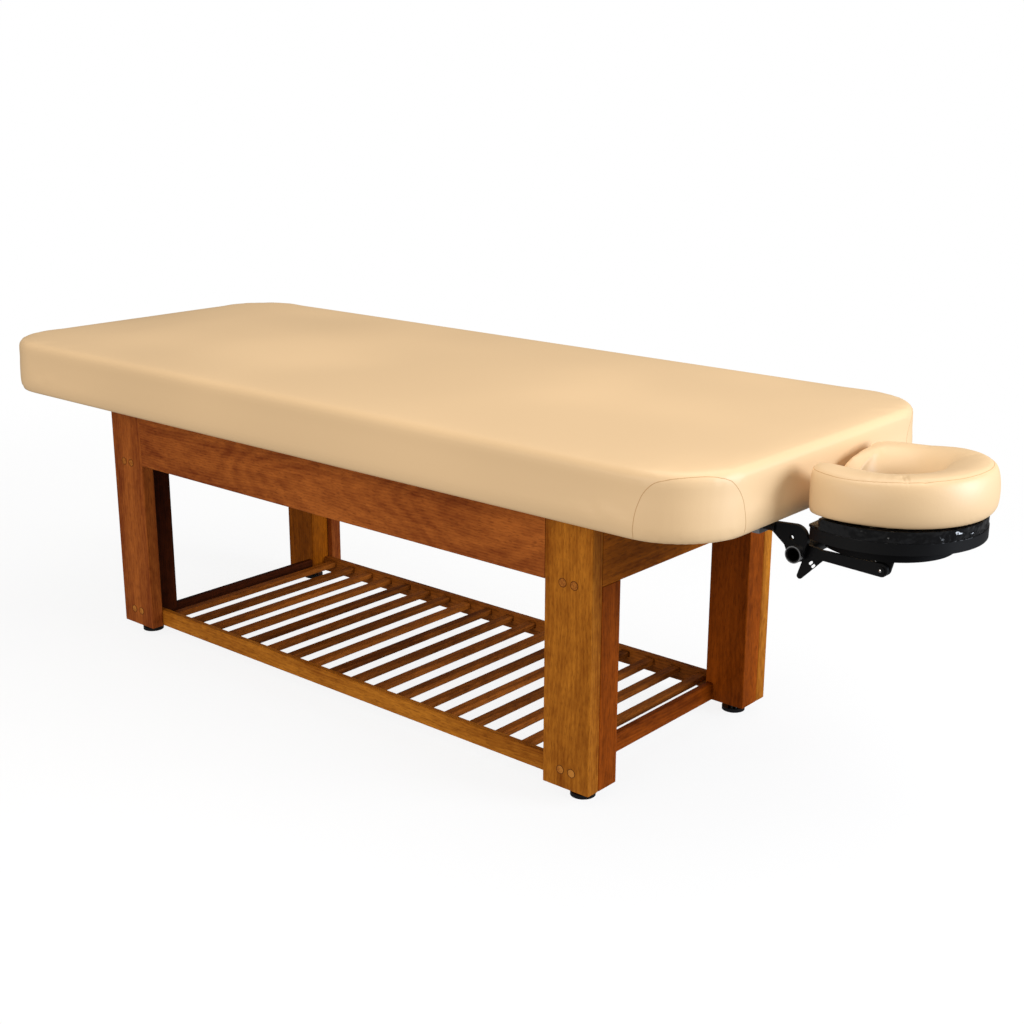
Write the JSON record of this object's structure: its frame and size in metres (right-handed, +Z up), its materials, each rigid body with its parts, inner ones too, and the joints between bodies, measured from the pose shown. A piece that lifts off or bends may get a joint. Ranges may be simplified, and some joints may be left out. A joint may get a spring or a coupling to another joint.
{
  "type": "treatment table",
  "caption": "Upholstered treatment table on a wooden stand with slatted storage shelf and levelling feet, and an adjustable face cradle with horseshoe pillow at the head end",
  "frame": {"origin": "on the floor, at the middle of the whole object's length and width", "axes": "+X from the foot end to the head end, +Y from the near side to the far side, +Z up"},
  "size_m": [2.072, 0.762, 0.6364],
  "materials": {
    "leatherette": "smooth matte tan leatherette",
    "plywood": "raw plywood",
    "wood_red": "satin lacquer, reddish brown with figure",
    "wood_gold": "satin lacquer, golden brown",
    "wood_dark": "satin lacquer, dark red-brown",
    "slat_wood": "satin lacquer, dark brown",
    "plug_wood": "satin lacquer, end grain",
    "zinc": "zinc plated",
    "foot_black": "black moulded foot",
    "steel": "bare plate",
    "black_metal": "satin black powder coat",
    "bright": "bright plating",
    "black_plastic": "black moulding",
    "rim_plastic": "matte dark grey",
    "hook_tape": "black hook tape"
  },
  "bodies": {
    "table": {"top_cushion": "leatherette", "deck_board": "plywood", "deck_cleats": "plywood", "wood_plugs": "plug_wood", "leg_screws": "zinc", "foot_inserts": "zinc", "receiver_plate": "steel", "rod_sockets": "steel", "receiver_screws": "zinc", "apron_near": "wood_red", "apron_far": "wood_red", "apron_head": "wood_red", "apron_foot": "wood_red", "leg_board_foot_near": "wood_gold", "leg_board_foot_far": "wood_gold", "leg_board_head_near": "wood_gold", "leg_board_head_far": "wood_gold", "shelf_rail_near": "wood_gold", "shelf_rail_far": "wood_gold", "shelf_rail_head": "wood_gold", "shelf_rail_foot": "wood_gold", "leg_post_foot_near": "wood_dark", "leg_post_foot_far": "wood_dark", "leg_post_head_near": "wood_dark", "leg_post_head_far": "wood_dark", "shelf_slat_01": "slat_wood", "shelf_slat_02": "slat_wood", "shelf_slat_03": "slat_wood", "shelf_slat_04": "slat_wood", "shelf_slat_05": "slat_wood", "shelf_slat_06": "slat_wood", "shelf_slat_07": "slat_wood", "shelf_slat_08": "slat_wood", "shelf_slat_09": "slat_wood", "shelf_slat_10": "slat_wood", "shelf_slat_11": "slat_wood", "shelf_slat_12": "slat_wood", "shelf_slat_13": "slat_wood", "shelf_slat_14": "slat_wood", "shelf_slat_15": "slat_wood", "shelf_slat_16": "slat_wood", "shelf_slat_17": "slat_wood", "shelf_slat_18": "slat_wood"},
    "foot_foot_near": {"levelling_foot_foot_near": "foot_black"},
    "foot_foot_far": {"levelling_foot_foot_far": "foot_black"},
    "foot_head_near": {"levelling_foot_head_near": "foot_black"},
    "foot_head_far": {"levelling_foot_head_far": "foot_black"},
    "cradle_carriage": {"cradle_arm_near": "black_metal", "cradle_arm_far": "black_metal", "cross_tube": "black_metal", "tube_rings": "bright"},
    "swing_arm": {"swing_link_near": "black_metal", "swing_link_far": "black_metal"},
    "platform": {"platform_pan": "black_plastic", "platform_rim": "rim_plastic", "platform_tray": "black_plastic", "pivot_pins": "bright", "hook_pads": "hook_tape"},
    "pillow": {"face_pillow": "leatherette"},
    "lever": {"cam_lever": "black_plastic"}
  },
  "joints": [
    {"name": "level_foot_near", "type": "slide", "parent": "table", "child": "foot_foot_near", "axis": [0, 0, -1], "range_m": [0, 0.01]},
    {"name": "level_foot_far", "type": "slide", "parent": "table", "child": "foot_foot_far", "axis": [0, 0, -1], "range_m": [0, 0.01]},
    {"name": "level_head_near", "type": "slide", "parent": "table", "child": "foot_head_near", "axis": [0, 0, -1], "range_m": [0, 0.01]},
    {"name": "level_head_far", "type": "slide", "parent": "table", "child": "foot_head_far", "axis": [0, 0, -1], "range_m": [0, 0.01]},
    {"name": "cradle_slide", "type": "slide", "parent": "table", "child": "cradle_carriage", "axis": [1, 0, 0], "range_m": [0, 0.12]},
    {"name": "swing_hinge", "type": "hinge", "parent": "cradle_carriage", "child": "swing_arm", "pos_m": [0.776, 0, 0.463], "axis": [0, 1, 0], "range_deg": [0, 45]},
    {"name": "tilt_hinge", "type": "hinge", "parent": "swing_arm", "child": "platform", "pos_m": [0.915, 0, 0.463], "axis": [0, 1, 0], "range_deg": [0, 40]},
    {"name": "pillow_lift", "type": "slide", "parent": "platform", "child": "pillow", "axis": [0, 0, 1], "range_m": [0, 0.05]},
    {"name": "cam_hinge", "type": "hinge", "parent": "cradle_carriage", "child": "lever", "pos_m": [0.776, 0, 0.463], "axis": [0, 1, 0], "range_deg": [-15, 60]}
  ]
}
